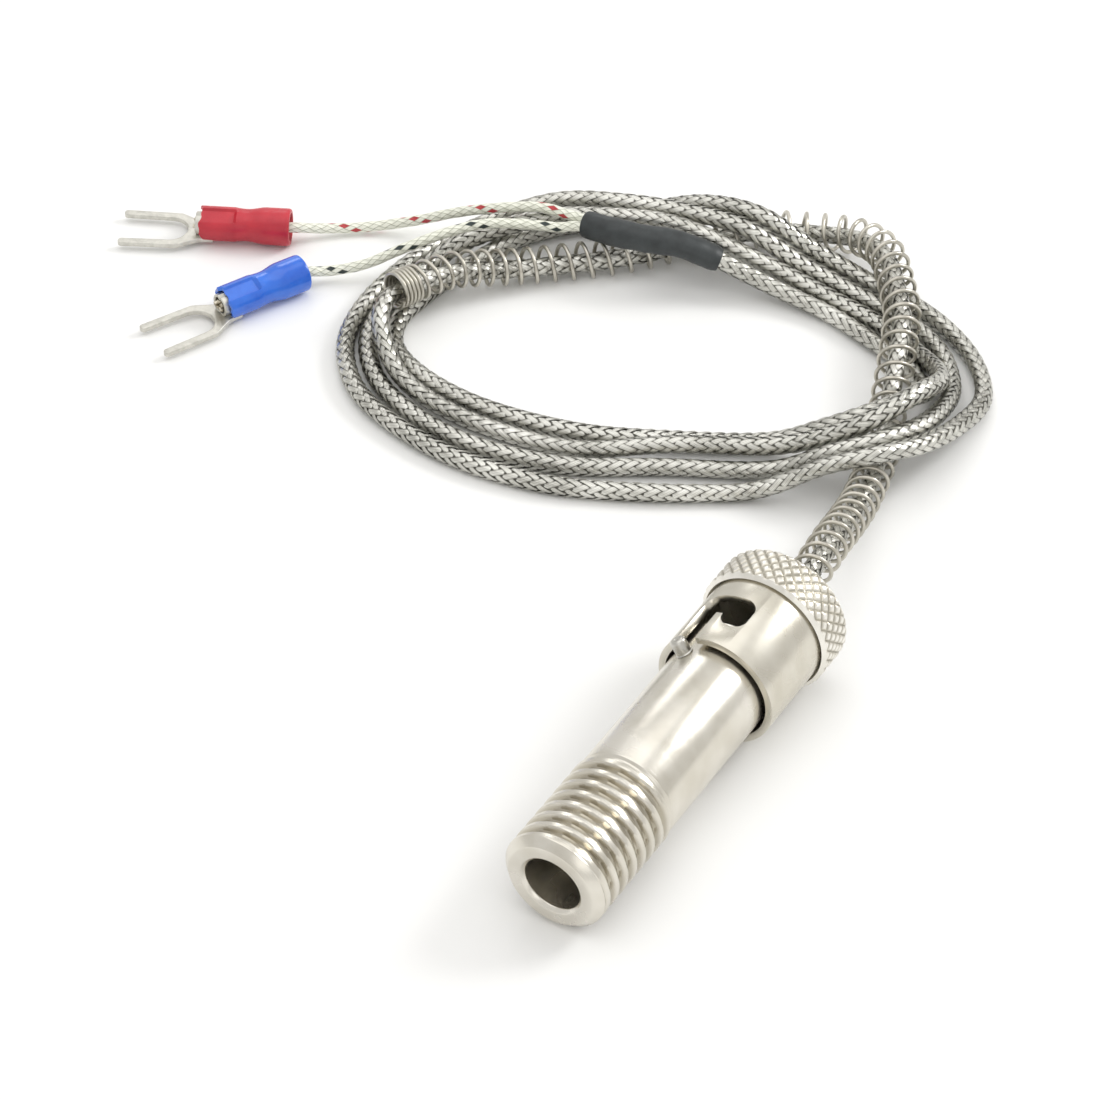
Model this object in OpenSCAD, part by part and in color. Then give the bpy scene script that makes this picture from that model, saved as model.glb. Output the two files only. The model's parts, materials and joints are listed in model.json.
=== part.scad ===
// Spring-loaded bayonet thermocouple with a threaded adapter, a braided cable
// laid in four loops, and two leads ending in insulated fork terminals.
// It lies on the plane z = 0, with the adapter's axis along +Y.

/* [Adapter] */
// Outside diameter of the adapter's thread
thread_d = 12; // [10:0.5:12]
// Length of the thread
thread_len = 14; // [8:0.5:16]
// Diameter of the plain barrel behind the thread
barrel_d = 11.6; // [11:0.1:11.8]
// Whole length of the adapter
adapter_len = 38; // [36:0.5:38.5]
// Diameter of the through bore
bore_d = 6.6; // [6:0.1:7.5]
// Diameter of the bayonet pin
pin_d = 1.8; // [1.4:0.1:1.8]
// Height of the pin's head above the barrel
pin_rise = 1.8; // [1.4:0.1:2]

/* [Bayonet cap] */
// Outside diameter of the slotted sleeve
sleeve_d = 14; // [14:0.1:14.4]
// Wall of the slotted sleeve
sleeve_wall = 0.8; // [0.6:0.1:0.9]
// Length of sleeve that shows in front of the collar
sleeve_show = 10.2; // [9.5:0.1:11]
// Outside diameter of the knurled collar
collar_d = 15.6; // [15.2:0.2:17]
// Length of the knurled collar
collar_len = 5.2; // [4.5:0.1:7]
// Width of the bayonet slot
slot_w = 3; // [2.6:0.1:3.2]
// Angle from the slot's channel to its locking pocket
slot_turn = 31; // [28:1:34]
// Depth of the slot's far wall behind the rim
slot_depth = 7.5; // [7.2:0.1:7.7]

/* [Probe] */
// Outside diameter of the probe tube
probe_d = 4.8; // [4:0.1:5.2]
// Length of the probe tube with its rounded tip
probe_len = 24; // [16:1:28]
// Wall of the probe tube
probe_wall = 0.4; // [0.3:0.05:0.6]

/* [Cable and spring] */
// Outside diameter of the long spring
spring_d = 4.7; // [4.4:0.1:4.7]
// Wire thickness of the long spring
spring_wire = 0.5; // [0.4:0.1:0.5]
// Thickness of the braided cable
cable_d = 2.2; // [1.8:0.1:2.2]
// Thickness of the heat-shrink sleeve
shrink_d = 3.4; // [3:0.1:3.4]
// Thickness of each lead
lead_d = 1.4; // [1.2:0.1:1.5]

/* [Fork terminals] */
// Diameter of the insulated barrel
insulator_d = 4.6; // [4:0.1:4.8]
// Length of the insulated barrel
insulator_len = 11; // [9:0.5:12]
// Width across the fork's prongs
fork_w = 6.4; // [6:0.2:7.2]
// Length of the fork in front of its insulator
fork_len = 10; // [9:0.5:11]
// Thickness of the fork's sheet
fork_t = 0.8; // [0.6:0.1:1]
// Width of the fork's slot, for an M4 stud
fork_slot = 4.3; // [4.2:0.1:4.4]

/* [Hidden] */
$fn = 64;
// Cut that runs past a face, so that no skin is left on it
past = 1;

// Places along the adapter's axis, from its threaded end
face_chamfer = 0.9;
pin_from_end = 5.9;
pin_s = adapter_len - pin_from_end;
rim_gap = 0.15;
rim_s = pin_s + pin_d / 2 + rim_gap;
collar_s = rim_s + sleeve_show;
cap_end = collar_s + collar_len;
rear_wall = 2.2;
collar_chamfer = 0.4;
collar_seat = 2;
pocket_back = 1.5;
ferrule_in = 1.2;
ferrule_s = rim_s + ferrule_in;
ferrule_len = 4.5;
ferrule_floor = 1;
ferrule_end = ferrule_s + ferrule_len;

// The junction and its wires inside the probe
tip_s = ferrule_s - probe_len;
bead_d = 1.8;
bead_flat = 0.3;
bead_s = tip_s + 3;
wire_d = 0.5;
wire_gap = 1.1;
rod_s = bead_s + 1.6;
rod_len = probe_len - 6;

// The adapter lies on its thread and on the collar's front edge
rest_front = face_chamfer;
rest_back = collar_s + collar_chamfer;
tilt = atan((collar_d - thread_d) / 2 / (rest_back - rest_front));
axis_z = thread_d / 2 * cos(tilt) - rest_front * sin(tilt);
face_r = thread_d / 2 - face_chamfer;
end_r = collar_d / 2 - collar_chamfer;
axis_y = -(cap_end * cos(tilt) + (end_r - face_r) * sin(tilt)) / 2;

// Angles round the axis, from straight up towards +X
pin_angle = -33;
pocket_angle = pin_angle + slot_turn;

function on_line(s, lift = 0) =
    [0, axis_y + s * cos(tilt) - lift * sin(tilt), axis_z + s * sin(tilt) + lift * cos(tilt)];

// The cable's route, first inside the long spring
spring_route = [
    [-0.5, 31.5, 8.1], [-1.5, 37, 7.1], [-2.7, 42.5, 5.2], [-4.3, 49, 3.2],
    [-6.5, 57, 2.4], [-9.8, 65.5, 2.8], [-13, 73.5, 4.6], [-15.5, 79, 5.1],
    [-19, 84, 5.1], [-23.3, 89, 4.9], [-28.5, 91.8, 3.4], [-34.5, 91, 2.4],
    [-40, 88, 2.4], [-45, 83, 2.4], [-51, 75.2, 2.4], [-57, 69.5, 2.4],
    [-62, 64.5, 2.9], [-66, 58.5, 4.6], [-69, 51, 5.2]
];

// Then in four passes round the loop, each from its left bend
loop_1 = [
    [-68.8, 48, 4.8], [-67, 45.2, 3.9], [-61.4, 41.1, 2], [-51, 39.4, 1.2],
    [-38, 41.3, 1.3], [-27.5, 46.8, 2.7], [-17.3, 51.8, 3.4], [-11.9, 54.6, 5.2],
    [-7.9, 57.2, 7.4], [-5.4, 63.8, 8], [-5.5, 69.8, 5.6], [-8.2, 74.4, 3.1],
    [-12, 77.6, 1.4], [-17.2, 80, 1.2], [-24.8, 81.6, 1.2], [-32.5, 81.8, 2.4],
    [-40, 80.5, 4.6], [-47, 79.3, 6], [-54.5, 77.3, 5.4], [-62, 73.8, 4.4],
    [-69.3, 65.8, 2.6], [-71.2, 57, 1.2]
];
loop_2 = [
    [-70.7, 49.5, 1.2], [-68.3, 44.2, 1.2], [-62.3, 38.8, 1.2], [-50.5, 35.8, 1.2],
    [-38, 38, 1.2], [-27, 44.3, 1.2], [-16, 50, 1.8], [-10.5, 52.3, 4.9],
    [-6.2, 55.4, 6.4], [-3.8, 61.5, 5.4], [-4.2, 68.8, 3.2], [-6, 74.4, 1.5],
    [-9.8, 79.2, 1.2], [-15.5, 82.4, 1.2], [-24, 84.1, 1.2], [-32, 84.3, 2.6],
    [-39.5, 83, 6.1], [-46.5, 81.9, 6.2], [-54.2, 80.2, 5.8], [-63, 77.3, 4.4],
    [-71, 69, 1.6], [-73.6, 59, 1.2]
];
loop_3 = [
    [-73.1, 49.2, 1.2], [-70.6, 42.8, 1.2], [-64, 36.5, 1.2], [-50.5, 32.9, 1.2],
    [-38, 34.2, 1.2], [-27, 39, 1.2], [-16, 45.8, 1.6], [-9.8, 49.4, 5.2],
    [-4.6, 52.9, 6.9], [-1.7, 58.8, 5.6], [-1.1, 67.3, 3], [-2.1, 74.8, 1.3],
    [-6.5, 80.5, 1.2], [-13.7, 84.8, 1.2], [-23.3, 87.1, 1.1], [-31.5, 87, 3],
    [-39, 85.8, 6.4], [-46, 84.5, 6.2], [-53, 82.8, 3.4], [-60, 78.5, 1.2],
    [-65, 71.5, 1.2], [-67.3, 63, 1.2]
];
loop_4 = [
    [-68.3, 56.5, 1.2], [-68.2, 50.5, 1.2], [-65.8, 46.4, 1.2], [-60.5, 43.6, 1.2],
    [-51.5, 42.3, 1.2], [-39, 44.3, 1.2], [-28.5, 49.1, 1.2], [-18.5, 54.4, 1.8],
    [-13.3, 56.7, 4.5], [-9.6, 59.2, 6.3], [-7.2, 64.2, 6.1], [-7, 69.5, 3.5],
    [-10.3, 73.7, 1.2], [-14.2, 76, 1.2], [-19, 77.5, 1.2], [-25.5, 79.2, 1.2],
    [-33, 79, 2.2]
];
shrink_route = [[-40, 77.2, 4.9], [-44, 75.6, 6.4], [-48.5, 74, 6.6], [-53, 73.2, 6.5], [-55.5, 73.2, 6.3]];
lead_side = 0.75;
positive_route = [
    [-58.5, 73.8, 6.2], [-62, 73, 6.5], [-67, 71, 5.7], [-72, 69.5, 4],
    [-77, 67.5, 2], [-82, 64.5, 1], [-86, 61, 1.4]
];
negative_route = [
    [-58.5, 71.8, 5.6], [-62, 70, 5.8], [-66.5, 67, 6], [-70, 63.5, 5.4],
    [-73.5, 59.5, 4.2], [-77, 56.5, 2.4], [-80.5, 54, 1.6]
];

// Each terminal: where the lead goes in, and the way the fork points
rest_h = insulator_d / 2 + 0.05;
positive_at = [-88.8, 58, rest_h];
positive_heading = 207;
negative_at = [-82.5, 51.3, rest_h];
negative_heading = 246;
fork_drop = 1.4;
barrel_gap = 0.85;
barrel_wall = 0.4;
barrel_in = 2;
barrel_out = 0.6;

tail_start = [on_line(ferrule_end), on_line(cap_end + 1.2)];
shrink_start = shrink_route[0];
loops = concat(loop_1, loop_2, loop_3, loop_4, [shrink_start]);
long_spring_route = concat(tail_start, spring_route);
shrink_end = shrink_route[len(shrink_route) - 1];
shrink_way = unit(shrink_end - shrink_route[len(shrink_route) - 2]);
lead_out = cross([0, 0, 1], shrink_way) * lead_side;
positive_lead_route = concat(
    [shrink_end - lead_out, shrink_end - lead_out + shrink_way], positive_route,
    [positive_at]);
negative_lead_route = concat(
    [shrink_end + lead_out, shrink_end + lead_out + shrink_way], negative_route,
    [negative_at]);

// Sweeping a round tube along a route
function unit(v) = v / norm(v);
function way(p, i) =
    i == 0 ? unit(p[1] - p[0])
    : i == len(p) - 1 ? unit(p[i] - p[i - 1])
    : unit(unit(p[i + 1] - p[i]) + unit(p[i] - p[i - 1]));
function across(t) = unit(cross(t, abs(t[2]) > 0.9 ? [1, 0, 0] : [0, 0, 1]));
function ring(c, t, r, n) =
    let (u = across(t), v = cross(u, t))
    [for (k = [0:n - 1]) c + r * (cos((k + 0.5) * 360 / n) * u + sin((k + 0.5) * 360 / n) * v)];
function rings(p, r, n) = [for (i = [0:len(p) - 1]) each ring(p[i], way(p, i), r, n)];
function band(a, b, n) =
    [for (k = [0:n - 1]) let (j = (k + 1) % n) each [[a + k, b + k, a + j], [a + j, b + k, b + j]]];
function flip(faces) = [for (f = faces) [f[2], f[1], f[0]]];
function sides(m, n, first) = [for (i = [0:m - 2]) each band(first + i * n, first + (i + 1) * n, n)];
function disc(first, n) = [for (k = [1:n - 2]) [first, first + k, first + k + 1]];

module swept_tube(route, d, n = 8) {
    m = len(route);
    last = (m - 1) * n;
    polyhedron(
        points = rings(route, d / 2, n),
        faces = concat(sides(m, n, 0), disc(0, n), flip(disc(last, n))));
}

module swept_pipe(route, d, wall, n = 8) {
    m = len(route);
    inner = m * n;
    last = (m - 1) * n;
    polyhedron(
        points = concat(rings(route, d / 2, n), rings(route, d / 2 - wall, n)),
        faces = concat(
            sides(m, n, 0), flip(sides(m, n, inner)),
            band(inner, 0, n), band(last, inner + last, n)));
}

// Every second point where the route is nearly straight gets no ring of its own
bend_kept = 18;
function bend(p, i) = acos(min(1, unit(p[i] - p[i - 1]) * unit(p[i + 1] - p[i])));
function kept(p, i) = i % 2 == 1 || i == 0 || i == len(p) - 1 || bend(p, i) > bend_kept;
function thinned(p) = [for (i = [0:len(p) - 1]) if (kept(p, i)) p[i]];

// Frames to build in
module on_axis(s = 0) {
    translate(on_line(s)) rotate([tilt - 90, 0, 0]) children();
}

module round_axis(angle) {
    rotate(angle - 90) children();
}

module at_terminal(at, a) {
    translate(at) rotate([0, 90, a]) children();
}

module pipe(r_out, r_in, h) {
    difference() {
        cylinder(r = r_out, h = h);
        translate([0, 0, -past]) cylinder(r = r_in, h = h + 2 * past);
    }
}

// Adapter
module adapter_body() {
    groove = 0.25;
    groove_w = 0.6;
    edge = 0.5;
    lip = 0.4;
    bore_r = bore_d / 2;
    barrel_r = barrel_d / 2;
    color("gainsboro") on_axis() difference() {
        rotate_extrude() polygon([
            [bore_r, lip], [bore_r + lip, 0], [face_r, 0],
            [thread_d / 2, face_chamfer], [thread_d / 2, thread_len],
            [barrel_r - groove, thread_len], [barrel_r - groove, thread_len + groove_w],
            [barrel_r, thread_len + groove_w + groove], [barrel_r, adapter_len - edge],
            [barrel_r - edge, adapter_len], [bore_r, adapter_len]
        ]);
        translate([0, 0, pin_s]) round_axis(pin_angle) translate([bore_r - past, 0, 0])
            rotate([0, 90, 0]) cylinder(d = pin_d, h = barrel_d);
    }
}

module bayonet_pin() {
    dome = 0.4;
    foot_in = 0.2;
    foot = bore_d / 2 + foot_in;
    head = barrel_d / 2 + pin_rise;
    color("silver") on_axis(pin_s) round_axis(pin_angle) translate([foot, 0, 0]) rotate([0, 90, 0])
        rotate_extrude() polygon([
            [0, 0], [pin_d / 2, 0], [pin_d / 2, head - foot - dome],
            [pin_d / 2 - dome, head - foot], [0, head - foot]
        ]);
}

// Bayonet cap: the slot is cut through the sleeve's wall between two radii
cut_r = sleeve_d / 2 - sleeve_wall - 2;
cut_h = sleeve_wall + 2 + past;

module slot_hole(angle, s) {
    translate([0, 0, s]) round_axis(angle) translate([cut_r, 0, 0])
        rotate([0, 90, 0]) cylinder(d = slot_w, h = cut_h);
}

module slot_channel(angle, s_from, s_to) {
    translate([0, 0, s_from]) round_axis(angle) translate([cut_r, -slot_w / 2, 0])
        cube([cut_h, slot_w, s_to - s_from]);
}

module bayonet_slot() {
    far = rim_s + slot_depth - slot_w / 2;
    pocket = far - pocket_back;
    slot_channel(pin_angle, rim_s - past, far);
    slot_hole(pin_angle, far);
    slot_channel(pocket_angle, pocket, far);
    slot_hole(pocket_angle, pocket);
    slot_hole(pocket_angle, far);
    translate([0, 0, far - slot_w / 2]) rotate(pin_angle - 90) rotate_extrude(angle = slot_turn)
        translate([cut_r, 0]) square([cut_h, slot_w]);
}

module bayonet_sleeve() {
    color("gainsboro") on_axis() difference() {
        translate([0, 0, rim_s])
            pipe(sleeve_d / 2, sleeve_d / 2 - sleeve_wall, sleeve_show + collar_seat);
        bayonet_slot();
    }
}

module knurled_collar() {
    groove_w = 0.5;
    lip = 0.3;
    hole_gap = 0.15;
    inner = sleeve_d / 2 - sleeve_wall;
    hole = spring_d / 2 + hole_gap;
    c = collar_chamfer;
    out = collar_d / 2;
    color("silver") on_axis() rotate_extrude() polygon([
        [sleeve_d / 2, collar_s + groove_w], [out - c, collar_s], [out, rest_back],
        [out, cap_end - c], [out - c, cap_end], [hole + lip, cap_end], [hole, cap_end - lip],
        [hole, cap_end - rear_wall], [inner, cap_end - rear_wall],
        [inner, collar_s + collar_seat], [sleeve_d / 2, collar_s + collar_seat]
    ]);
}

// Probe
module probe_tube() {
    r = probe_d / 2;
    color("lightsteelblue") on_axis(tip_s + r) pipe(r, r - probe_wall, probe_len - r);
}

module probe_tip() {
    r = probe_d / 2;
    color("lightsteelblue") on_axis(tip_s + r) difference() {
        sphere(r = r);
        sphere(r = r - probe_wall);
        cylinder(r = r + past, h = r + past);
    }
}

module junction_bead() {
    color("dimgray") on_axis(bead_s) difference() {
        sphere(d = bead_d);
        translate([0, 0, bead_flat]) cylinder(d = bead_d, h = bead_d);
    }
}

module insulator_rod() {
    gap = 0.1;
    color("ivory") on_axis(rod_s) difference() {
        cylinder(r = probe_d / 2 - probe_wall - gap, h = rod_len);
        for (side = [-1, 1]) translate([side * wire_gap / 2, 0, -past])
            cylinder(d = wire_d + 2 * gap, h = rod_len + 2 * past);
    }
}

module thermo_wire(side) {
    on_axis(bead_s + bead_flat) translate([side * wire_gap / 2, 0, 0])
        cylinder(d = wire_d, h = ferrule_end - ferrule_floor - bead_s - bead_flat);
}

module wire_positive() {
    color("sienna") thermo_wire(-1);
}

module wire_negative() {
    color("slategray") thermo_wire(1);
}

module crimp_ferrule() {
    hole_d = 2.8;
    color("silver") on_axis(ferrule_s) difference() {
        cylinder(d = probe_d, h = ferrule_len);
        translate([0, 0, -past]) cylinder(d = hole_d, h = ferrule_len - ferrule_floor + past);
    }
}

// Cable, spring, heat-shrink and leads
module long_spring() {
    color("silver") swept_pipe(long_spring_route, spring_d, spring_wire, 8);
}

module braided_cable() {
    color("gray") swept_tube(concat(long_spring_route, thinned(loops)), cable_d);
}

module heat_shrink() {
    color("dimgray") swept_tube(shrink_route, shrink_d);
}

module lead_positive() {
    color("beige") swept_tube(positive_lead_route, lead_d);
}

module lead_negative() {
    color("beige") swept_tube(negative_lead_route, lead_d);
}

// Fork terminals
module insulator_sleeve() {
    wall = 0.8;
    step = 0.3;
    r = insulator_d / 2;
    rotate_extrude() polygon([
        [r - wall, 0], [r, 0], [r - step / 2, insulator_len * 0.35], [r - step, insulator_len * 0.45],
        [r - step, insulator_len], [r - wall, insulator_len]
    ]);
}

module fork_plate() {
    slot_len = 6;
    waist_d = 3.6;
    waist_out = 0.6;
    r = insulator_d / 2 - barrel_gap;
    slot_end = insulator_len + fork_len - slot_len;
    translate([0, 0, barrel_in]) pipe(r, r - barrel_wall, insulator_len + barrel_out - barrel_in);
    difference() {
        translate([fork_drop - fork_t / 2, -fork_w / 2, insulator_len])
            cube([fork_t, fork_w, fork_len]);
        translate([0, -fork_slot / 2, slot_end]) cube([fork_w, fork_slot, slot_len + past]);
        translate([0, 0, slot_end]) rotate([0, 90, 0]) cylinder(d = fork_slot, h = fork_w);
        for (side = [-1, 1])
            translate([0, side * (fork_w / 2 + waist_out), insulator_len]) rotate([0, 90, 0])
                cylinder(d = waist_d, h = fork_w);
    }
}

module crimped_strands() {
    lead_gap = 0.1;
    r = insulator_d / 2 - barrel_gap - barrel_wall - lead_gap;
    translate([0, 0, lead_gap]) cylinder(r = r, h = insulator_len + barrel_out);
}

module insulator_positive() {
    color("crimson") at_terminal(positive_at, positive_heading) insulator_sleeve();
}

module insulator_negative() {
    color("royalblue") at_terminal(negative_at, negative_heading) insulator_sleeve();
}

module fork_positive() {
    color("lightgray") at_terminal(positive_at, positive_heading) fork_plate();
}

module fork_negative() {
    color("lightgray") at_terminal(negative_at, negative_heading) fork_plate();
}

module strands_positive() {
    color("darkgray") at_terminal(positive_at, positive_heading) crimped_strands();
}

module strands_negative() {
    color("darkgray") at_terminal(negative_at, negative_heading) crimped_strands();
}

adapter_body();
bayonet_pin();
bayonet_sleeve();
knurled_collar();
probe_tube();
probe_tip();
junction_bead();
insulator_rod();
wire_positive();
wire_negative();
crimp_ferrule();
long_spring();
braided_cable();
heat_shrink();
lead_positive();
lead_negative();
insulator_positive();
insulator_negative();
fork_positive();
fork_negative();
strands_positive();
strands_negative();
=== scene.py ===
import json
import math
import bpy
import numpy as np
from mathutils import Matrix, Vector


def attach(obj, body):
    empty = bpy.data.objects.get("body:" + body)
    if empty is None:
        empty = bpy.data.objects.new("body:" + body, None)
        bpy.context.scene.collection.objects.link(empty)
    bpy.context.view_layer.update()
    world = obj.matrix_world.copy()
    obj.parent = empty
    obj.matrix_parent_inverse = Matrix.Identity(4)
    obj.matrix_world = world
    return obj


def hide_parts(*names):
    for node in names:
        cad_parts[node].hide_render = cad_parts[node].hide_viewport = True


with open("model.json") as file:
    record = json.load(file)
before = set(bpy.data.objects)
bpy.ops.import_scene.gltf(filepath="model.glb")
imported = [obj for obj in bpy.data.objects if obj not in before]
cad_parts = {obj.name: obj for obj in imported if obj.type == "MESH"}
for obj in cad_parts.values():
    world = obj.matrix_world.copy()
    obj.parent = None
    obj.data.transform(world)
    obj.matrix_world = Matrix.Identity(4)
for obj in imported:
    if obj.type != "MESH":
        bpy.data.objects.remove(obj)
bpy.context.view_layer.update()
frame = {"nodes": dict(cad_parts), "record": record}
mm = 0.001
print("frame loaded:", len(frame["nodes"]), "nodes")

mounts = {m["name"]: m for m in frame["record"]["mounts"]}
threadPoint = 7 * mm  # how far the thread mount's point lies behind the end face
towardsCable = -Vector(mounts["adapter_thread"]["axis"])
endFace = Vector(mounts["adapter_thread"]["pos_m"]) - towardsCable * threadPoint
downwards = Vector((0, towardsCable.z, -towardsCable.y))


def basis(x, y, z, origin):
    return Matrix((
        (x[0], y[0], z[0], origin[0]),
        (x[1], y[1], z[1], origin[1]),
        (x[2], y[2], z[2], origin[2]),
        (0, 0, 0, 1),
    ))


onAxis = basis((1, 0, 0), downwards, towardsCable, endFace)  # local z: end face to cable

viewSettings = {
    "target": (-0.03147, 0.02601, 0),
    "azimuth": 32.0,
    "elevation": 40.9,
    "distance": 0.5085,
    "lens": 147.4,
    "sensor": 36,
    "clip": (0.01, 20),
}


def addCamera(s):
    a, e = math.radians(s["azimuth"]), math.radians(s["elevation"])
    back = Vector((math.sin(a) * math.cos(e), -math.cos(a) * math.cos(e), math.sin(e)))
    bpy.ops.object.camera_add(location=Vector(s["target"]) + back * s["distance"])
    camera = bpy.context.object
    camera.rotation_mode = "QUATERNION"
    camera.rotation_quaternion = (-back).to_track_quat("-Z", "Y")
    camera.data.lens, camera.data.sensor_width = s["lens"], s["sensor"]
    camera.data.clip_start, camera.data.clip_end = s["clip"]
    bpy.context.scene.camera = camera


addCamera(viewSettings)

springRoute = [  # each route is the one in the part's source, in millimetres
    [-0.5, 31.5, 8.1], [-1.5, 37, 7.1], [-2.7, 42.5, 5.2], [-4.3, 49, 3.2],
    [-6.5, 57, 2.4], [-9.8, 65.5, 2.8], [-13, 73.5, 4.6], [-15.5, 79, 5.1],
    [-19, 84, 5.1], [-23.3, 89, 4.9], [-28.5, 91.8, 3.4], [-34.5, 91, 2.4],
    [-40, 88, 2.4], [-45, 83, 2.4], [-51, 75.2, 2.4], [-57, 69.5, 2.4],
    [-62, 64.5, 2.9], [-66, 58.5, 4.6], [-69, 51, 5.2],
]
loopRoutes = [
    [-68.8, 48, 4.8], [-67, 45.2, 3.9], [-61.4, 41.1, 2], [-51, 39.4, 1.2],
    [-38, 41.3, 1.3], [-27.5, 46.8, 2.7], [-17.3, 51.8, 3.4], [-11.9, 54.6, 5.2],
    [-7.9, 57.2, 7.4], [-5.4, 63.8, 8], [-5.5, 69.8, 5.6], [-8.2, 74.4, 3.1],
    [-12, 77.6, 1.4], [-17.2, 80, 1.2], [-24.8, 81.6, 1.2], [-32.5, 81.8, 2.4],
    [-40, 80.5, 4.6], [-47, 79.3, 6], [-54.5, 77.3, 5.4], [-62, 73.8, 4.4],
    [-69.3, 65.8, 2.6], [-71.2, 57, 1.2],
    [-70.7, 49.5, 1.2], [-68.3, 44.2, 1.2], [-62.3, 38.8, 1.2], [-50.5, 35.8, 1.2],
    [-38, 38, 1.2], [-27, 44.3, 1.2], [-16, 50, 1.8], [-10.5, 52.3, 4.9],
    [-6.2, 55.4, 6.4], [-3.8, 61.5, 5.4], [-4.2, 68.8, 3.2], [-6, 74.4, 1.5],
    [-9.8, 79.2, 1.2], [-15.5, 82.4, 1.2], [-24, 84.1, 1.2], [-32, 84.3, 2.6],
    [-39.5, 83, 6.1], [-46.5, 81.9, 6.2], [-54.2, 80.2, 5.8], [-63, 77.3, 4.4],
    [-71, 69, 1.6], [-73.6, 59, 1.2],
    [-73.1, 49.2, 1.2], [-70.6, 42.8, 1.2], [-64, 36.5, 1.2], [-50.5, 32.9, 1.2],
    [-38, 34.2, 1.2], [-27, 39, 1.2], [-16, 45.8, 1.6], [-9.8, 49.4, 5.2],
    [-4.6, 52.9, 6.9], [-1.7, 58.8, 5.6], [-1.1, 67.3, 3], [-2.1, 74.8, 1.3],
    [-6.5, 80.5, 1.2], [-13.7, 84.8, 1.2], [-23.3, 87.1, 1.1], [-31.5, 87, 3],
    [-39, 85.8, 6.4], [-46, 84.5, 6.2], [-53, 82.8, 3.4], [-60, 78.5, 1.2],
    [-65, 71.5, 1.2], [-67.3, 63, 1.2],
    [-68.3, 56.5, 1.2], [-68.2, 50.5, 1.2], [-65.8, 46.4, 1.2], [-60.5, 43.6, 1.2],
    [-51.5, 42.3, 1.2], [-39, 44.3, 1.2], [-28.5, 49.1, 1.2], [-18.5, 54.4, 1.8],
    [-13.3, 56.7, 4.5], [-9.6, 59.2, 6.3], [-7.2, 64.2, 6.1], [-7, 69.5, 3.5],
    [-10.3, 73.7, 1.2], [-14.2, 76, 1.2], [-19, 77.5, 1.2], [-25.5, 79.2, 1.2],
    [-33, 79, 2.2],
]
shrinkRoute = [
    [-40, 77.2, 4.9], [-44, 75.6, 6.4], [-48.5, 74, 6.6], [-53, 73.2, 6.5], [-55.5, 73.2, 6.3],
]
positiveRoute = [
    [-58.5, 73.8, 6.2], [-62, 73, 6.5], [-67, 71, 5.7], [-72, 69.5, 4],
    [-77, 67.5, 2], [-82, 64.5, 1], [-86, 61, 1.4],
]
negativeRoute = [
    [-58.5, 71.8, 5.6], [-62, 70, 5.8], [-66.5, 67, 6], [-70, 63.5, 5.4],
    [-73.5, 59.5, 4.2], [-77, 56.5, 2.4], [-80.5, 54, 1.6],
]
terminals = {  # where the lead goes in, and the way that the fork points
    "positive": {"at": (-88.8, 58, 2.35), "heading": 207},
    "negative": {"at": (-82.5, 51.3, 2.35), "heading": 246},
}


def inMetres(route):
    return np.array(route, float) * mm


def alongAxis(distance):
    return np.array(endFace + towardsCable * distance * mm)


def terminalFrame(which):
    a = math.radians(terminals[which]["heading"])
    forwards, sideways = (math.cos(a), math.sin(a), 0), (-math.sin(a), math.cos(a), 0)
    return basis((0, 0, -1), sideways, forwards, Vector(terminals[which]["at"]) * mm)


curvePoints = 24  # drawn from each point of a route to the next


def smoothLine(route, step):
    p = np.vstack([2 * route[0] - route[1], route, 2 * route[-1] - route[-2]])
    out = []
    t = np.linspace(0, 1, curvePoints, endpoint=False)[:, None]
    for a, b, c, d in zip(p[:-3], p[1:-2], p[2:-1], p[3:]):
        ka, kb, kc = (np.linalg.norm(y - x) ** 0.5 for x, y in ((a, b), (b, c), (c, d)))
        startWay = ((b - a) / ka - (c - a) / (ka + kb) + (c - b) / kb) * kb
        endWay = ((c - b) / kb - (d - b) / (kb + kc) + (d - c) / kc) * kb
        out.append(
            b * (2 * t**3 - 3 * t**2 + 1) + startWay * (t**3 - 2 * t**2 + t)
            + c * (3 * t**2 - 2 * t**3) + endWay * (t**3 - t**2)
        )
    return evenly(np.vstack(out + [route[-1:]]), step)


def distances(line):
    return np.concatenate([[0], np.cumsum(np.linalg.norm(np.diff(line, axis=0), axis=1))])


def evenly(line, step):
    s = distances(line)
    wanted = np.linspace(0, s[-1], max(2, round(s[-1] / step) + 1))
    return np.column_stack([np.interp(wanted, s, line[:, k]) for k in range(3)])


def relaxed(line, passes):
    for _ in range(passes):
        line[1:-1] = (line[:-2] + 2 * line[1:-1] + line[2:]) / 4
    return line


def unit(rows):
    return rows / np.linalg.norm(rows, axis=1)[:, None]


def lineFrames(line, ways, sides):
    ups = np.cross(sides, ways)
    return {"s": distances(line), "at": line, "way": ways, "side": sides, "up": ups}


def framed(line):  # the sides along a line, carried on without a twist
    ways = unit(np.gradient(line, axis=0))
    side = np.cross(ways[0], (0, 0, 1))
    sides = []
    for way in ways:
        side = side - way * side.dot(way)
        side = side / np.linalg.norm(side)
        sides.append(side)
    return lineFrames(line, ways, np.array(sides))


def sampled(f, s):
    got = {"s": np.asarray(s, float)}
    for key in ("at", "way", "side", "up"):
        got[key] = np.column_stack([np.interp(s, f["s"], f[key][:, k]) for k in range(3)])
    past = np.clip(s - f["s"][-1], 0, None)[:, None] + np.clip(s - f["s"][0], None, 0)[:, None]
    got["at"] = got["at"] + got["way"] * past  # straight on past an end
    return got


def outFrom(f, angle):
    return f["side"] * np.cos(angle)[:, None] + f["up"] * np.sin(angle)[:, None]


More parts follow.
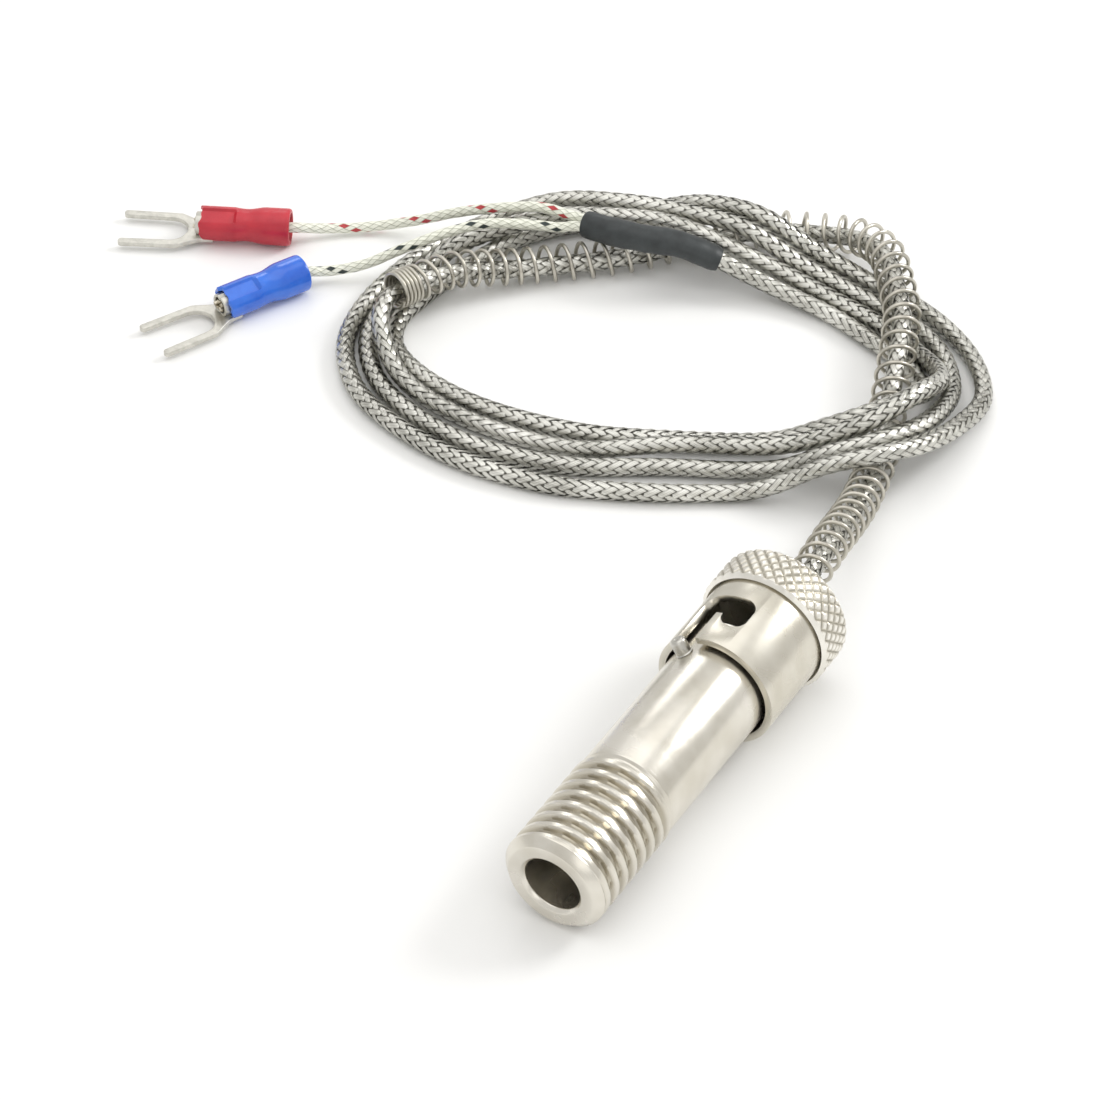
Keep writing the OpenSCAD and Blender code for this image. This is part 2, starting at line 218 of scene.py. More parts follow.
def addMesh(name, places, faces, uv):
    mesh = bpy.data.meshes.new(name)
    mesh.from_pydata(places.tolist(), [], faces)
    mesh.uv_layers.new(name="UVMap")
    setMap(mesh, uv)
    piece = bpy.data.objects.new(name, mesh)
    bpy.context.scene.collection.objects.link(piece)
    return piece


def setMap(mesh, uv):
    corner = np.zeros(len(mesh.loops), np.int32)
    mesh.loops.foreach_get("vertex_index", corner)
    mesh.uv_layers["UVMap"].data.foreach_set("uv", uv[corner].astype(np.float32).ravel())


def tube(name, f, rings, sides, flat=0.0, turn=0.0):
    s, r = np.array([x[0] for x in rings]), np.array([x[1] for x in rings])
    g = sampled(f, s)
    angle = np.arange(sides) * 2 * math.pi / sides
    swing = (turn * s)[:, None]
    across = np.cos(angle)[None, :] * (1 + flat)
    upward = np.sin(angle)[None, :] * (1 - flat)
    x = (across * np.cos(swing) - upward * np.sin(swing)) * r[:, None]
    y = (across * np.sin(swing) + upward * np.cos(swing)) * r[:, None]
    places = g["at"][:, None] + g["side"][:, None] * x[..., None] + g["up"][:, None] * y[..., None]
    faces = []
    for i in range(len(s) - 1):
        near, far = i * sides, (i + 1) * sides
        for k in range(sides):
            j = (k + 1) % sides
            faces.append((near + k, near + j, far + j, far + k))
    faces.append(tuple(range(sides))[::-1])
    faces.append(tuple(range(len(s) * sides - sides, len(s) * sides)))
    uv = np.stack(np.broadcast_arrays(s[:, None] / mm, (angle / 2 / math.pi)[None, :]), -1)
    return addMesh(name, places.reshape(-1, 3), faces, uv.reshape(-1, 2))


def linear(colour):
    shares = [int(colour[k:k + 2], 16) / 255 for k in (1, 3, 5)]
    return [c / 12.92 if c <= 0.04045 else ((c + 0.055) / 1.055) ** 2.4 for c in shares] + [1]


def add(tree, kind, inputs=None, stops=None, **settings):
    node = tree.nodes.new("ShaderNode" + kind)
    for key, value in settings.items():
        setattr(node, key, value)
    if stops:
        elements = node.color_ramp.elements
        while len(elements) < len(stops):
            elements.new(0.5)
        for element, (at, colour) in zip(elements, stops):
            element.position, element.color = at, linear(colour)
    for key, value in (inputs or {}).items():
        if isinstance(value, bpy.types.Node):
            value = value.outputs[0]
        if isinstance(value, bpy.types.NodeSocket):
            tree.links.new(value, node.inputs[key])
        else:
            node.inputs[key].default_value = value
    return node


def newMaterial(name):
    material = bpy.data.materials.new(name)
    material.use_nodes = True
    material.node_tree.nodes.clear()
    return material, material.node_tree


def metalFinish(s):
    material, tree = newMaterial(s["name"])
    where = add(tree, "TexCoord")
    local = where.outputs["Object"]
    patches = add(tree, "TexNoise", {"Vector": local, "Scale": 1000 / s["patch"], "Detail": 3})
    stops = [(0.35, s["colours"][0]), (0.65, s["colours"][1])]
    colour = add(tree, "ValToRGB", {0: patches}, stops=stops).outputs[0]
    if "rootShade" in s:  # painted shade: what is cut in is darker
        reliefShade = add(tree, "Attribute", attribute_name="reliefShade")
        stops = [(0, s["rootShade"]), (0.55, "#dad7d0"), (1, "#ffffff")]
        shade = add(tree, "ValToRGB", {0: reliefShade.outputs["Fac"]}, stops=stops)
        both = {0: 1.0, 6: colour, 7: shade}
        colour = add(tree, "Mix", both, data_type="RGBA", blend_type="MULTIPLY").outputs[2]
    marks = add(tree, "TexNoise", {
        "Vector": where.outputs[s["along"]], "Scale": s["marks"], "Detail": 2, "Roughness": 0.6,
    })
    grit = add(tree, "TexNoise", {"Vector": local, "Scale": 1000 / s["grit"], "Detail": 2})
    dull = add(tree, "MapRange", {0: patches, 1: 0.3, 2: 0.7, 3: s["rough"][0], 4: s["rough"][1]})
    lines = add(tree, "Bump", {
        "Strength": s["markStrength"], "Distance": 0.02 * mm, "Height": marks,
    })
    bumps = add(tree, "Bump", {
        "Strength": s["gritStrength"], "Distance": 0.02 * mm, "Height": grit, "Normal": lines,
    })
    shader = add(tree, "BsdfPrincipled", {
        "Base Color": colour, "Metallic": 1.0, "Roughness": dull, "Normal": bumps,
    })
    add(tree, "OutputMaterial", {0: shader})
    return material


# Bright nickel plate on turned brass: a warm near-white mirror, broken by fine lathe rings, with
# painted shade in the thread's roots
nickelPlate = metalFinish({
    "name": "nickelPlateTurned", "colours": ("#d0cbbf", "#e2ded5"), "rootShade": "#c9c6bd",
    "along": "UV", "marks": 9.0, "markStrength": 0.5, "patch": 6.0, "grit": 0.22,
    "gritStrength": 0.1, "rough": (0.25, 0.28),
})
# The same plate on rolled sheet: a little greyer, with faint marks along the roll
nickelSheet = metalFinish({
    "name": "nickelPlateSheet", "colours": ("#cbc6b9", "#dcd8cd"),
    "along": "UV", "marks": 8.0, "markStrength": 0.4, "patch": 6.0, "grit": 0.22,
    "gritStrength": 0.1, "rough": (0.26, 0.3),
})
# Nickel plate on a knurl: bright crests over valleys darkened with painted shade
nickelKnurl = metalFinish({
    "name": "nickelPlateKnurled", "colours": ("#e6e3da", "#f1eee7"), "rootShade": "#a8a59d",
    "along": "UV", "marks": 5.0, "markStrength": 0.2, "patch": 2.0, "grit": 0.2,
    "gritStrength": 0.15, "rough": (0.32, 0.42),
})
# Stainless steel, turned or drawn: cooler and duller than the plate
stainlessTurned = metalFinish({
    "name": "stainlessTurned", "colours": ("#b9b7b0", "#d0cec7"),
    "along": "UV", "marks": 6.0, "markStrength": 0.3, "patch": 2.5, "grit": 0.25,
    "gritStrength": 0.12, "rough": (0.24, 0.36),
})
# Spring wire, cold drawn: warm silver grey with lengthwise die lines
springSteel = metalFinish({
    "name": "springSteelDrawn", "colours": ("#b5b1a6", "#cdc9be"),
    "along": "UV", "marks": 4.0, "markStrength": 0.25, "patch": 3.0, "grit": 0.25,
    "gritStrength": 0.1, "rough": (0.26, 0.38),
})
# Tinned copper, stamped: pale and satin, with a fine speckle in the tin
tinnedCopper = metalFinish({
    "name": "tinnedCopperStamped", "colours": ("#c4c2ba", "#d9d7cf"),
    "along": "Object", "marks": 2500.0, "markStrength": 0.2, "patch": 0.8, "grit": 0.22,
    "gritStrength": 0.5, "rough": (0.38, 0.52),
})
# Thermocouple alloy wire, bare: bright, faintly warm, scuffed by the crimp
alloyWire = metalFinish({
    "name": "alloyWireBare", "colours": ("#bdb4a2", "#ddd6c6"),
    "along": "Object", "marks": 3000.0, "markStrength": 0.3, "patch": 1.0, "grit": 0.2,
    "gritStrength": 0.3, "rough": (0.25, 0.4),
})


def braidFinish(s):
    material, tree = newMaterial(s["name"])
    where = add(tree, "TexCoord")
    local = where.outputs["Object"]
    across = add(tree, "SeparateXYZ", {0: where.outputs["UV"]}).outputs[1]
    count = add(tree, "Math", {0: across, 1: float(s["wires"])}, operation="MULTIPLY")
    within = add(tree, "Math", {0: count}, operation="FRACT")
    centred = add(tree, "Math", {0: within, 1: 0.5}, operation="SUBTRACT")
    square = add(tree, "Math", {0: centred, 1: centred}, operation="MULTIPLY")
    hump = add(tree, "Math", {0: square, 1: -4.0, 2: 1.0}, operation="MULTIPLY_ADD")  # a wire's top
    tarnish = add(tree, "TexNoise", {"Vector": local, "Scale": 1000 / s["patch"], "Detail": 4})
    bright = add(tree, "ValToRGB", {0: tarnish}, stops=list(zip((0.3, 0.55, 0.75), s["colours"])))
    # painted shade: darker in the creases between the wires
    gapShade = add(tree, "ValToRGB", {0: hump}, stops=[(0, s["gap"]), (0.5, "#ffffff")])
    fromMiddle = add(tree, "Math", {0: across, 1: 0.5}, operation="SUBTRACT")
    distance = add(tree, "Math", {0: fromMiddle}, operation="ABSOLUTE")
    # painted shade: darker along each ribbon's edges, where it dips under its neighbours
    edgeShade = add(tree, "ValToRGB", {0: distance}, stops=[(0.32, "#ffffff"), (0.47, s["edge"])])
    colour = bright.outputs[0]
    for darker in (gapShade, edgeShade):
        both = {0: 1.0, 6: colour, 7: darker}
        colour = add(tree, "Mix", both, data_type="RGBA", blend_type="MULTIPLY").outputs[2]
    bump = add(tree, "Bump", {"Strength": 0.45, "Distance": 0.04 * mm, "Height": hump})
    dull = add(tree, "MapRange", {0: tarnish, 1: 0.3, 2: 0.7, 3: s["rough"][0], 4: s["rough"][1]})
    shader = add(tree, "BsdfPrincipled", {
        "Base Color": colour, "Metallic": 1.0, "Roughness": dull, "Normal": bump,
    })
    add(tree, "OutputMaterial", {0: shader})
    return material


# Tinned wire braid: flat ribbons of fine wires that flash as they turn, with painted shade between
# the wires and along the ribbons' edges
braidWire = braidFinish({
    "name": "tinnedWireBraid", "patch": 5.0, "gap": "#a9a79f", "edge": "#68665e",
    "wires": 4,  # a real ribbon has more and finer ones than a render can show
    "colours": ("#b9b8b1", "#dad9d2", "#f1f0ea"), "rough": (0.22, 0.36),
})


def plasticFinish(s):
    material, tree = newMaterial(s["name"])
    local = add(tree, "TexCoord").outputs["Object"]
    cloud = add(tree, "TexNoise", {"Vector": local, "Scale": 1000 / s["patch"], "Detail": 4})
    grain = add(tree, "TexNoise", {"Vector": local, "Scale": 1000 / s["grain"], "Detail": 3})
    tint = add(tree, "ValToRGB", {0: cloud}, stops=list(zip((0.3, 0.7), s["colours"])))
    dull = add(tree, "MapRange", {0: grain, 1: 0.35, 2: 0.65, 3: s["rough"][0], 4: s["rough"][1]})
    bump = add(tree, "Bump", {
        "Strength": s["grainStrength"], "Distance": 0.03 * mm, "Height": grain,
    })
    shader = add(tree, "BsdfPrincipled", {
        "Base Color": tint, "Roughness": dull, "Normal": bump, "IOR": s["ior"],
        "Coat Weight": s["coat"], "Coat Roughness": 0.15,
    })
    add(tree, "OutputMaterial", {0: shader})
    return material


# Moulded PVC: a satin red with a speckled sheen
redVinyl = plasticFinish({
    "name": "vinylRedMoulded", "colours": ("#b01c2f", "#c92c3a"), "patch": 3.0, "grain": 0.28,
    "grainStrength": 0.5, "rough": (0.28, 0.46), "ior": 1.53, "coat": 0.0,
})
# Moulded PVC again, smoother, so that its highlights are sharper
blueVinyl = plasticFinish({
    "name": "vinylBlueMoulded", "colours": ("#1f5bc8", "#2f74e0"), "patch": 3.0, "grain": 0.5,
    "grainStrength": 0.12, "rough": (0.16, 0.26), "ior": 1.53, "coat": 0.4,
})
# Shrunk polyolefin: slate black with a soft sheen and a slightly uneven skin
shrinkSleeve = plasticFinish({
    "name": "polyolefinShrunk", "colours": ("#25292a", "#363b3c"), "patch": 1.6, "grain": 0.35,
    "grainStrength": 0.35, "rough": (0.36, 0.5), "ior": 1.5, "coat": 0.0,
})
# Sintered alumina: dull warm white with fine pores
aluminaCeramic = plasticFinish({
    "name": "aluminaSintered", "colours": ("#ddd8c9", "#f1ede2"), "patch": 1.5, "grain": 0.2,
    "grainStrength": 0.4, "rough": (0.6, 0.8), "ior": 1.77, "coat": 0.0,
})
# The dark varnished lay of wires under the braid
cableCore = plasticFinish({
    "name": "varnishedGlassCore", "colours": ("#45443e", "#626058"), "patch": 2.0, "grain": 0.3,
    "grainStrength": 0.5, "rough": (0.5, 0.7), "ior": 1.5, "coat": 0.0,
})


def fibreglassFinish(s):
    material, tree = newMaterial(s["name"])
    where = add(tree, "TexCoord")
    split = add(tree, "SeparateXYZ", {0: where.outputs["UV"]})
    cells, tops = [], []
    for lay in (1, -1):
        around = add(tree, "Math", {0: split.outputs[1], 1: lay * s["yarns"]}, operation="MULTIPLY")
        count = add(
            tree, "Math", {0: split.outputs[0], 1: s["yarns"] / s["lay"], 2: around},
            operation="MULTIPLY_ADD",
        )
        cells.append(add(tree, "Math", {0: count}, operation="FLOOR"))
        part = add(tree, "Math", {0: count, 1: 0.5}, operation="PINGPONG")
        tops.append(add(tree, "Math", {0: part, 1: 2.0}, operation="MULTIPLY"))
    both = add(tree, "Math", {0: cells[0], 1: cells[1]}, operation="ADD")
    under = add(tree, "Math", {0: both, 1: 1.0}, operation="PINGPONG")  # 0 or 1, cell by cell
    level = add(tree, "Mix", {0: under, 2: tops[0], 3: tops[1]}, data_type="FLOAT")
    # painted shade: each yarn is darker towards its edges, in the creases between yarns
    shade = add(tree, "ValToRGB", {0: level}, stops=list(zip((0.02, 0.4), s["colours"])))
    turns = add(tree, "Math", {0: cells[0], 1: 1 / s["yarns"]}, operation="MULTIPLY")
    which = add(tree, "Math", {0: turns}, operation="FRACT")
    near = add(tree, "Math", {0: which, 1: 0.5 / s["yarns"]}, operation="LESS_THAN")
    above = add(tree, "Math", {0: 1.0, 1: under}, operation="SUBTRACT")
    traced = add(tree, "Math", {0: near, 1: above}, operation="MULTIPLY")
    colour = add(tree, "Mix", {0: traced, 6: shade, 7: linear(s["tracer"])}, data_type="RGBA")
    fuzz = add(tree, "TexNoise", {
        "Vector": where.outputs["Object"], "Scale": 1000 / s["fuzz"], "Detail": 2,
    })
    soft = add(tree, "Bump", {"Strength": 0.3, "Distance": 0.03 * mm, "Height": fuzz})
    bump = add(tree, "Bump", {
        "Strength": 0.9, "Distance": 0.08 * mm, "Height": level, "Normal": soft,
    })
    shader = add(tree, "BsdfPrincipled", {
        "Base Color": colour.outputs[2], "Roughness": 0.55, "Normal": bump, "IOR": 1.5,
        "Sheen Weight": 0.15,
    })
    add(tree, "OutputMaterial", {0: shader})
    return material


# Woven glass yarn: a greenish white herringbone, with painted shade at each yarn's edges, and one
# coloured tracer yarn
glassYarn = {"yarns": 6.0, "lay": 9.0, "colours": ("#a3a592", "#eeefe1"), "fuzz": 0.12}
positiveGlass = fibreglassFinish({**glassYarn, "name": "glassYarnRedTracer", "tracer": "#b5383c"})
negativeGlass = fibreglassFinish({**glassYarn, "name": "glassYarnDarkTracer", "tracer": "#24302f"})
print("materials made")


def choose(*pieces):
    bpy.ops.object.select_all(action="DESELECT")
    for piece in pieces:
        piece.select_set(True)
    bpy.context.view_layer.objects.active = pieces[0]


def joined(*pieces):
    choose(*pieces)
    bpy.ops.object.join()
    return pieces[0]


def dress(piece, material, body, stands=(), smooth=None):
    choose(piece)
    if smooth is not None:
        bpy.ops.object.shade_smooth_by_angle(angle=math.radians(smooth))
    piece.data.materials.clear()
    piece.data.materials.append(material)
    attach(piece, body)
    if stands:
        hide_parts(*stands)
    return piece


def edit(piece):
    choose(piece)
    bpy.ops.object.mode_set(mode="EDIT")
    bpy.ops.mesh.select_all(action="SELECT")


def leaveEdit():
    bpy.ops.object.mode_set(mode="OBJECT")


def facedOutwards(piece):
    edit(piece)
    bpy.ops.mesh.normals_make_consistent(inside=False)
    leaveEdit()


def selectVertices(piece, wanted):
    edit(piece)
    bpy.ops.mesh.select_all(action="DESELECT")
    leaveEdit()
    for v in piece.data.vertices:
        v.select = wanted(v.co)
    bpy.ops.object.mode_set(mode="EDIT")


def drawn(name, corners):  # left in edit mode
    bpy.ops.object.select_all(action="DESELECT")
    bpy.ops.mesh.primitive_circle_add(vertices=3, radius=1)
    piece = bpy.context.object
    piece.name = piece.data.name = name
    edit(piece)
    bpy.ops.mesh.merge(type="CENTER")  # one point is left, and the outline is drawn out of it
    here = Vector(corners[0])
    bpy.ops.transform.translate(value=here)
    for corner in corners[1:]:
        step = Vector(corner) - here
        bpy.ops.mesh.extrude_region_move(TRANSFORM_OT_translate={"value": step})
        here = Vector(corner)
    bpy.ops.mesh.select_all(action="SELECT")
    bpy.ops.mesh.remove_doubles(threshold=1e-4)
    return piece


def turnedPiece(name, outline, steps, closed=True):
    corners = [(r, 0, z) for r, z in outline]
    piece = drawn(name, corners + corners[:closed])
    bpy.ops.mesh.spin(steps=steps, angle=math.tau, center=(0, 0, 0), axis=(0, 0, 1))
    bpy.ops.mesh.select_all(action="SELECT")
    bpy.ops.mesh.remove_doubles(threshold=1e-4)
    bpy.ops.mesh.normals_make_consistent(inside=False)
    leaveEdit()
    return piece


def modify(piece, kind, **settings):
    modifier = piece.modifiers.new("change", kind)
    for key, value in settings.items():
        setattr(modifier, key, value)
    choose(piece)
    bpy.ops.object.modifier_apply(modifier=modifier.name)


def bevelled(piece, width, segments=2):
    limit = math.radians(25)
    modify(piece, "BEVEL", width=width, segments=segments, limit_method="ANGLE", angle_limit=limit)


def readPlaces(piece):
    co = np.zeros(len(piece.data.vertices) * 3)
    piece.data.vertices.foreach_get("co", co)
    return co.reshape(-1, 3)


def movePlaces(piece, co):
    piece.data.vertices.foreach_set("co", np.ascontiguousarray(co, np.float32).ravel())
    piece.data.update()


def addReliefShade(piece, values):
    layer = piece.data.attributes.new("reliefShade", "FLOAT", "POINT")
    layer.data.foreach_set("value", np.ascontiguousarray(values, np.float32))


def turnedMap(piece):
    co = readPlaces(piece)
    if "UVMap" not in piece.data.uv_layers:
        piece.data.uv_layers.new(name="UVMap")
    setMap(piece.data, np.column_stack([co[:, 2], np.hypot(co[:, 0], co[:, 1])]))


def place(piece, matrix):
    piece.data.transform(matrix @ Matrix.Scale(mm, 4))
    piece.data.update()


def ramp(x, low, high):
    t = np.clip((x - low) / (high - low), 0, 1)
    return t * t * (3 - 2 * t)


adapter = {  # one turned body with a cut thread
    "bore": 3.3, "lip": 0.4, "faceRadius": 5.1, "threadRadius": 6.0, "chamfer": 0.9,
    "threadLength": 14.0, "grooveRadius": 5.45, "grooveWidth": 0.6, "slope": (0.15, 0.25),
    "barrelRadius": 5.8, "length": 38.0, "edge": 0.5, "bevel": 0.09,
    "pitch": 1.75, "threadDepth": 0.62, "flank": 0.74, "runIn": (-0.1, 1.1), "runOut": (1.1, 0.15),
    "skin": 0.3, "shade": 0.85, "ringStep": 0.125, "steps": 160,
}


def buildAdapter(s):
    threadEnd, barrelEnd = s["threadLength"], s["length"]
    rings = np.arange(s["chamfer"], threadEnd + 0.01, s["ringStep"])
    outline = [(s["bore"], s["lip"]), (s["bore"] + s["lip"], 0), (s["faceRadius"], 0)]
    outline += [(s["threadRadius"], z) for z in rings]
    outline += [
        (s["grooveRadius"], threadEnd + s["slope"][0]),
        (s["grooveRadius"], threadEnd + s["grooveWidth"]),
        (s["barrelRadius"], threadEnd + s["grooveWidth"] + s["slope"][1]),
        (s["barrelRadius"], barrelEnd - s["edge"]), (s["barrelRadius"] - s["edge"], barrelEnd),
        (s["bore"], barrelEnd),
    ]
    piece = turnedPiece("adapterBody", outline, s["steps"])
    bevelled(piece, s["bevel"])
    co = readPlaces(piece)
    radius, angle = np.hypot(co[:, 0], co[:, 1]), np.arctan2(co[:, 1], co[:, 0])
    turn = co[:, 2] / s["pitch"] - angle / math.tau
    wave = np.cos(turn * math.tau)  # 1 on a crest, and the helix is right-handed
    fade = 1 - ramp(co[:, 2], *(threadEnd - d for d in s["runOut"]))
    fade = fade * ramp(co[:, 2], *(s["chamfer"] + d for d in s["runIn"]))
    target = s["threadRadius"] - s["threadDepth"] * ramp(0.5 - s["flank"] * wave, 0, 1) * fade
    outer = (radius > s["faceRadius"] - s["skin"]) & (co[:, 2] < threadEnd)
    moved = np.where(outer, np.minimum(radius, target), radius)
    co[:, :2] *= (moved / radius)[:, None]
    movePlaces(piece, co)
    # painted shade: the colour is darkened where the thread is cut in
    addReliefShade(piece, 1 - s["shade"] * np.clip((radius - moved) / s["threadDepth"], 0, 1))
    turnedMap(piece)
    place(piece, onAxis)
    dress(piece, nickelPlate, "adapter", ["adapter_body"], smooth=32)


buildAdapter(adapter)
print("adapter turned and threaded")

bayonetPin = {  # short and turned, its head rounded over by wear
    "at": 32.1, "angle": -33, "radius": 0.9, "foot": 3.5, "head": 7.6, "dome": 0.4, "steps": 40,
    "ring": [(0, 5.76), (0.1, 5.84), (-0.02, 5.95), (0, 6.05)],  # where it goes into the barrel
    "dimple": [(0.35, 0.02), (0.28, 0.07), (0, 0.08)],
}


def buildPin(s):
    r, head, turns = s["radius"], s["head"], np.radians(np.arange(0, 91, 15))
    outline = [(0, s["foot"]), (r, s["foot"])] + [(r + wider, z) for wider, z in s["ring"]]
    outline += [
        (r - s["dome"] * (1 - math.cos(a)), head - s["dome"] * (1 - math.sin(a))) for a in turns
    ]
    outline += [(r * share, head - down) for share, down in s["dimple"]]
    piece = turnedPiece("bayonetPin", outline, s["steps"], closed=False)
    turnedMap(piece)
    a = math.radians(s["angle"])
    outwards, onwards = Vector((math.sin(a), -math.cos(a), 0)), Vector((0, 0, 1))
    place(piece, onAxis @ Matrix.Translation((0, 0, s["at"] * mm))
          @ basis(outwards.cross(onwards), onwards, outwards, (0, 0, 0)))
    dress(piece, stainlessTurned, "adapter", ["bayonet_pin"], smooth=40)


buildPin(bayonetPin)
print("pin turned")


sleeve = {  # a flat strip, slotted, edged, then rolled up
    "outer": 7.0, "wall": 0.8, "rim": 33.15, "end": 44.6, "slot": 3.0, "mouthAngle": -33,
    "pocketAngle": -2, "run": 39.15, "pocket": 37.65, "past": 2, "cutterDepth": 6,
    "cutterSides": 48, "edge": 0.11, "rollStep": 2.5,
}


def slotCutter(at, stretch, s):
    bpy.ops.object.select_all(action="DESELECT")
    bpy.ops.mesh.primitive_cylinder_add(
        vertices=s["cutterSides"], radius=s["slot"] / 2, depth=s["cutterDepth"], location=at,
        rotation=(math.pi / 2, 0, 0),
    )
    cutter = bpy.context.object
    bpy.ops.object.transform_apply(location=True, rotation=True, scale=True)
    way = Vector(stretch)
    selectVertices(cutter, lambda co: (co - Vector(at)).dot(way) > 1e-3)
    bpy.ops.transform.translate(value=way)
    leaveEdit()
    return cutter


def buildSleeve(s):
    around, middle = math.tau * s["outer"], s["outer"] - s["wall"] / 2
    bpy.ops.object.select_all(action="DESELECT")
    bpy.ops.mesh.primitive_cube_add(
        size=1, location=(around / 2, middle, (s["rim"] + s["end"]) / 2),
        scale=(around, s["wall"], s["end"] - s["rim"]),
    )
    piece = bpy.context.object
    piece.name = piece.data.name = "bayonetSleeve"
    bpy.ops.object.transform_apply(location=True, rotation=True, scale=True)
    mouth, pocket = (around * (0.5 + s[k] / 360) for k in ("mouthAngle", "pocketAngle"))
    for at, stretch in (
        ((mouth, middle, s["rim"] - s["past"]), (0, 0, s["run"] - s["rim"] + s["past"])),
        ((mouth, middle, s["run"]), (pocket - mouth, 0, 0)),
        ((pocket, middle, s["pocket"]), (0, 0, s["run"] - s["pocket"])),
    ):
        cutter = slotCutter(at, stretch, s)
        modify(piece, "BOOLEAN", operation="DIFFERENCE", object=cutter, solver="EXACT")
        bpy.data.objects.remove(cutter)
    edit(piece)
    bpy.ops.mesh.select_all(action="DESELECT")
    leaveEdit()
    for face in piece.data.polygons:  # the strip's two ends, which meet once it is rolled
        x = face.center.x
        face.select = abs(face.normal.x) > 0.99 and (x < 0.01 or x > around - 0.01)
    bpy.ops.object.mode_set(mode="EDIT")
    bpy.ops.mesh.delete(type="FACE")
    leaveEdit()
    bevelled(piece, s["edge"])
    edit(piece)
    for k in range(1, round(360 / s["rollStep"])):
        bpy.ops.mesh.select_all(action="SELECT")
        at = around * k * s["rollStep"] / 360
        bpy.ops.mesh.bisect(plane_co=(at, 0, 0), plane_no=(1, 0, 0))
    leaveEdit()
    co = readPlaces(piece)
    angle, height = co[:, 0] / s["outer"] - math.pi, co[:, 1].copy()
    co[:, 0], co[:, 1] = np.sin(angle) * height, -np.cos(angle) * height
    movePlaces(piece, co)
    edit(piece)
    bpy.ops.mesh.remove_doubles(threshold=1e-4)
    leaveEdit()
    facedOutwards(piece)
    turnedMap(piece)
    place(piece, onAxis)
    dress(piece, nickelSheet, "cap", ["bayonet_sleeve"], smooth=35)


buildSleeve(sleeve)
print("sleeve slotted and rolled")


collar = {  # turned, then its rim cut into diamonds
    "inner": 6.2, "seat": 7.0, "start": 43.35, "groove": 0.5, "seatLength": 1.3, "outer": 7.8,
    "end": 48.55, "hole": 2.5, "lip": 0.3, "rearWall": 2.2, "shoulder": 0.9, "chamfer": 0.42,
    "front": (0.52, 0.12), "grooveShare": 4.2, "pitch": 1.46, "depth": 0.2, "wrap": 0.6,
    "fade": 0.12, "rearFade": (0.75, 0.3), "shade": 0.9, "steps": 432, "ringStep": 0.13,
}


def buildCollar(s):
    outer, inFront, behind = s["outer"], s["start"] + s["chamfer"], s["end"] - s["shoulder"]
    seatEnd, turns = s["start"] + s["seatLength"], np.radians(np.arange(0, 91, 9))
    outline = [(s["inner"], seatEnd), (s["seat"], seatEnd), (s["seat"], s["start"] + s["groove"])]
    outline += [(outer - s["front"][0], s["start"]), (outer - s["front"][1], inFront - 0.1)]
    outline += [(outer, z) for z in np.arange(inFront, behind, s["ringStep"])]
    outline += [
        (outer - s["shoulder"] * (1 - math.cos(a)), behind + s["shoulder"] * math.sin(a))
        for a in turns
    ]
    outline += [
        (s["hole"] + s["lip"], s["end"]), (s["hole"], s["end"] - s["lip"]),
        (s["hole"], s["end"] - s["rearWall"]), (s["inner"], s["end"] - s["rearWall"]),
    ]
    piece = turnedPiece("knurledCollar", outline, s["steps"])
    co = readPlaces(piece)
    radius, angle = np.hypot(co[:, 0], co[:, 1]), np.arctan2(co[:, 1], co[:, 0])
    starts = round(math.tau * outer / s["pitch"])
    drop = np.clip(outer - radius, 0, 0.8)
    along = co[:, 2] + s["wrap"] * drop * (co[:, 2] > behind)  # the knurl runs on over the shoulder
    depth = 0
    for lay in (1, -1):
        phase = angle * starts / math.tau + lay * along / s["pitch"]
        groove = 1 - np.abs((phase % 1) - 0.5) * s["grooveShare"]
        depth = np.maximum(depth, np.clip(groove, 0, 1))
    mask = ramp(co[:, 2], inFront - s["fade"], inFront + s["fade"])
    mask = mask * ramp(radius, *(outer - d for d in s["rearFade"]))
    co[:, :2] *= ((radius - s["depth"] * depth * mask) / radius)[:, None]
    movePlaces(piece, co)
    # painted shade: the colour is darkened in the knurl's grooves
    addReliefShade(piece, 1 - s["shade"] * depth * mask)
    turnedMap(piece)
    place(piece, onAxis)
    dress(piece, nickelKnurl, "cap", ["knurled_collar"], smooth=28)


buildCollar(collar)
print("collar knurled")


probe = {  # the sheath inside the adapter, one tube drawn to a round tip
    "tip": 10.35, "radius": 2.4, "wall": 0.4, "length": 24.0, "steps": 64,
    "groove": [(0.05, 8), (0.05, 8.4), (0, 8.6)],
}


def buildProbe(s):
    r, inner, base = s["radius"], s["radius"] - s["wall"], s["tip"] + s["radius"]
    end, turns = s["tip"] + s["length"], np.radians(np.arange(0, 91, 7.5))
    outline = [(r * math.sin(a), base - r * math.cos(a)) for a in turns]
    outline += [(r - depth, base + z) for depth, z in s["groove"]] + [(r, end), (inner, end)]
    outline += [(inner * math.sin(a), base - inner * math.cos(a)) for a in turns[::-1]]
    piece = turnedPiece("probeSheath", outline, s["steps"], closed=False)
    turnedMap(piece)
    place(piece, onAxis)
    dress(piece, stainlessTurned, "sensor", ["probe_tube", "probe_tip"], smooth=35)


buildProbe(probe)
print("probe sheath drawn")


cable = {  # a core tube under the braid
    "start": 38.85, "exit": 48.55, "outside": 49.75, "diameter": 0.0022, "length": 0.83,
    "core": 0.97, "coreStep": 0.8, "coreSides": 12, "lowest": 1.18, "sag": 0.4,
    "sags": (12, 25), "rises": (-3, 9), "lineStep": 0.25, "passes": 12,
}
braid = {  # two lays of flat ribbons, each over two and under two
    "lay": 13.0, "ribbons": 8, "width": 0.74, "radius": 1.02, "wave": 0.09, "steep": 1.4,
    "crown": 0.12, "rise": 0.02, "step": 0.33, "oval": 0.07, "ovalTurn": 70.0,
}
tail = np.array([
    alongAxis(cable["start"]), alongAxis((cable["start"] + cable["outside"]) / 2),
    alongAxis(cable["outside"]),
])
springLine = smoothLine(np.vstack([tail, inMetres(springRoute)]), cable["lineStep"] * mm)
springEnd = distances(springLine)[-1]


